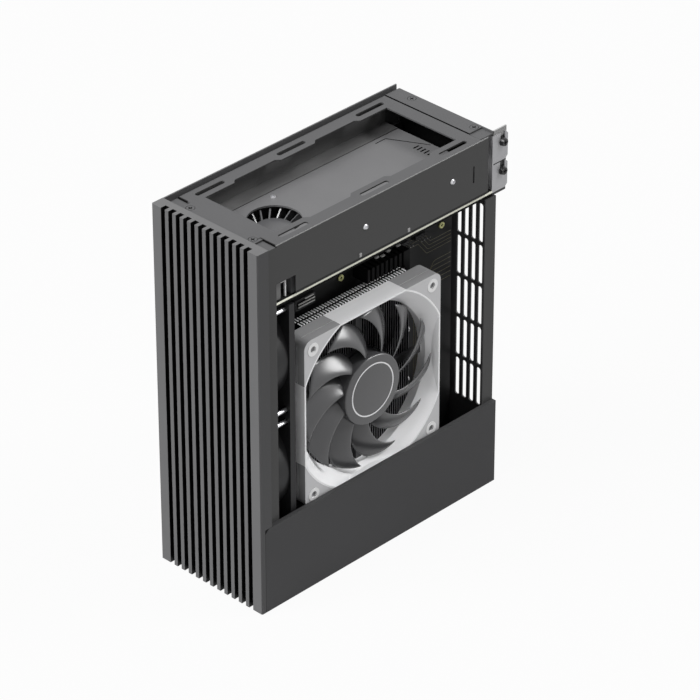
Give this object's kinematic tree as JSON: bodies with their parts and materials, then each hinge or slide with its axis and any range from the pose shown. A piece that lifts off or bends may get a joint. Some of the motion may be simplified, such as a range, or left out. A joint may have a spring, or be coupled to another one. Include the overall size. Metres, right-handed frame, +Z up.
{
  "type": "mini-itx pc case",
  "caption": "Small upright computer case with a finned front, open on its right side and top to show a square cooling fan over the board and a blower card in the bay above.",
  "frame": {"origin": "middle of the case's underside, half way between front face and rear panel", "axes": "+X to the open right side, +Y to the rear, +Z up"},
  "size_m": [0.09, 0.223, 0.257],
  "materials": {
    "front_alloy": "satin anodised, dark grey",
    "panel_alloy": "satin anodised, charcoal",
    "black_sheet": "fine matt black powder coat",
    "bracket_steel": "satin grey",
    "fan_black": "moulded black",
    "blade_dark": "glossy charcoal",
    "frame_light": "light grey, bright duct",
    "pad_grey": "mid grey, soft",
    "bush_white": "white, soft",
    "screw_dark": "black oxide",
    "screw_bright": "bright zinc",
    "board_brass": "plated brass",
    "board_black": "black solder mask",
    "card_board": "dark board with a pale edge",
    "chip_lid": "nickel plate",
    "socket_black": "moulded black",
    "fin_metal": "bright rolled sheet",
    "sink_black": "black anodised",
    "pipe_nickel": "bright nickel",
    "base_metal": "machined",
    "shroud_plastic": "satin charcoal",
    "supply_metal": "matt black"
  },
  "bodies": {
    "case": {"front_panel": "front_alloy", "front_frame": "black_sheet", "bay_frame": "black_sheet", "rear_panel": "black_sheet", "lower_cover": "panel_alloy", "left_side_panel": "panel_alloy", "board_tray": "black_sheet", "frame_screws": "screw_dark", "bay_wall_screws": "screw_bright", "front_fan_frame_lower": "fan_black", "front_fan_frame_upper": "fan_black", "front_fan_screws": "screw_bright", "motherboard": "board_black", "board_standoffs": "board_brass", "board_screws": "board_brass", "cpu_socket": "socket_black", "cpu": "chip_lid", "cooler_base": "base_metal", "fin_stack": "fin_metal", "heat_pipes": "pipe_nickel", "cpu_fan_frame": "frame_light", "cpu_fan_corner_pads": "pad_grey", "cpu_fan_bushes": "bush_white", "cpu_fan_screws": "screw_dark", "power_stage_cooler": "sink_black", "board_power_socket": "socket_black", "memory_slots": "socket_black", "memory_modules": "board_black", "gpu_board": "card_board", "gpu_shroud": "shroud_plastic", "gpu_shroud_screws": "screw_bright", "gpu_heat_sink": "base_metal", "gpu_blower_motor": "fan_black", "gpu_bracket": "bracket_steel", "slot_screws": "screw_dark", "riser_slot": "socket_black", "riser_card": "board_black", "power_supply": "supply_metal"},
    "cpu_fan_wheel": {"cpu_fan_rotor": "blade_dark"},
    "front_fan_wheel_lower": {"front_fan_rotor_lower": "blade_dark"},
    "front_fan_wheel_upper": {"front_fan_rotor_upper": "blade_dark"},
    "gpu_blower_wheel": {"gpu_blower_rotor": "blade_dark"}
  },
  "joints": [
    {"name": "cpu_fan_spin", "type": "hinge", "parent": "case", "child": "cpu_fan_wheel", "pos_m": [0.026, -0.0032, 0.1165], "axis": [1, 0, 0], "continuous": true},
    {"name": "front_fan_spin_lower", "type": "hinge", "parent": "case", "child": "front_fan_wheel_lower", "pos_m": [0, -0.0702, 0.088], "axis": [0, -1, 0], "continuous": true},
    {"name": "front_fan_spin_upper", "type": "hinge", "parent": "case", "child": "front_fan_wheel_upper", "pos_m": [0, -0.0702, 0.168], "axis": [0, -1, 0], "continuous": true},
    {"name": "gpu_blower_spin", "type": "hinge", "parent": "case", "child": "gpu_blower_wheel", "pos_m": [-0.0008, -0.046, 0.2142], "axis": [0, 0, 1], "continuous": true}
  ]
}
